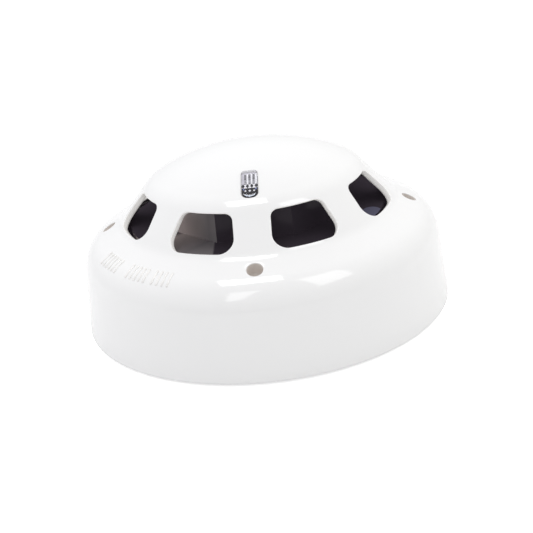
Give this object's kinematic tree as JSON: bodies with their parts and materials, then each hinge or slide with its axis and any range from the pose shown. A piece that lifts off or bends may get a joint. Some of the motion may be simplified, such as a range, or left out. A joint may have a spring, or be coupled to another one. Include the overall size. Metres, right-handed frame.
{
  "type": "heat detector",
  "caption": "Round white ceiling heat detector: domed head with air windows over a black inner housing and a clear light pipe, twist-locked into a flat terminal base.",
  "frame": {"origin": "centre of the base's mounting face, on the detector's axis", "axes": "+Z out of the dome, away from the ceiling; -Y towards the light pipe; +X to the right of it"},
  "size_m": [0.1, 0.1, 0.0464],
  "materials": {
    "white_plastic": "smooth glossy white ABS",
    "base_plastic": "satin white ABS",
    "black_plastic": "glossy black",
    "clear_plastic": "clear polycarbonate with prism facets",
    "seal_rubber": "soft black rubber",
    "spring_steel": "plated spring strip and wire",
    "screw_steel": "zinc-plated steel",
    "contact_brass": "plated brass",
    "board_green": "green solder resist",
    "chip_black": "moulded chip body",
    "can_aluminium": "bright can",
    "thermistor_epoxy": "dipped epoxy",
    "led_body": "cream LED body"
  },
  "bodies": {
    "base": {"base_plate": "base_plastic", "clamp_plate_1": "screw_steel", "clamp_plate_2": "screw_steel", "clamp_plate_3": "screw_steel", "clamp_plate_4": "screw_steel", "terminal_screw_1": "screw_steel", "terminal_screw_2": "screw_steel", "terminal_screw_3": "screw_steel", "terminal_screw_4": "screw_steel"},
    "seal": {"seal_ring": "seal_rubber"},
    "head": {"cover": "white_plastic", "light_pipe": "clear_plastic", "inner_housing": "black_plastic", "chassis": "base_plastic", "circuit_board": "board_green", "microcontroller": "chip_black", "bridge_rectifier": "chip_black", "surge_suppressor": "chip_black", "indicator_led": "led_body", "capacitor_1": "can_aluminium", "capacitor_2": "can_aluminium", "reference_thermistor": "thermistor_epoxy", "thermistor_bead": "thermistor_epoxy", "thermistor_lead_1": "spring_steel", "thermistor_lead_2": "spring_steel", "board_screw_1": "screw_steel", "board_screw_2": "screw_steel", "chassis_screw_1": "screw_steel", "chassis_screw_2": "screw_steel", "chassis_screw_3": "screw_steel", "chassis_screw_4": "screw_steel", "contact_blade_1": "contact_brass", "contact_blade_2": "contact_brass", "contact_blade_3": "contact_brass", "contact_blade_4": "contact_brass"},
    "spring_1": {"contact_spring_1": "spring_steel"},
    "spring_2": {"contact_spring_2": "spring_steel"},
    "spring_3": {"contact_spring_3": "spring_steel"},
    "spring_4": {"contact_spring_4": "spring_steel"}
  },
  "joints": [
    {"name": "head_lift", "type": "slide", "parent": "base", "child": "seal", "axis": [0, 0, 1], "range_m": [0, 0.03]},
    {"name": "head_twist", "type": "hinge", "parent": "seal", "child": "head", "pos_m": [0, 0, 0], "axis": [0, 0, -1], "range_deg": [0, 20]},
    {"name": "spring_1_bend", "type": "hinge", "parent": "base", "child": "spring_1", "pos_m": [0.02447, 0.01141, 0.00515], "axis": [-0.9063, -0.4226, 0], "range_deg": [0, 3]},
    {"name": "spring_2_bend", "type": "hinge", "parent": "base", "child": "spring_2", "pos_m": [-0.01141, 0.02447, 0.00515], "axis": [0.4226, -0.9063, 0], "range_deg": [0, 3]},
    {"name": "spring_3_bend", "type": "hinge", "parent": "base", "child": "spring_3", "pos_m": [-0.02447, -0.01141, 0.00515], "axis": [0.9063, 0.4226, 0], "range_deg": [0, 3]},
    {"name": "spring_4_bend", "type": "hinge", "parent": "base", "child": "spring_4", "pos_m": [0.01141, -0.02447, 0.00515], "axis": [-0.4226, 0.9063, 0], "range_deg": [0, 3]}
  ],
  "couplings": [
    {"joint": "spring_1_bend", "follows": "head_twist", "ratio": 0.15},
    {"joint": "spring_2_bend", "follows": "head_twist", "ratio": 0.15},
    {"joint": "spring_3_bend", "follows": "head_twist", "ratio": 0.15},
    {"joint": "spring_4_bend", "follows": "head_twist", "ratio": 0.15}
  ]
}
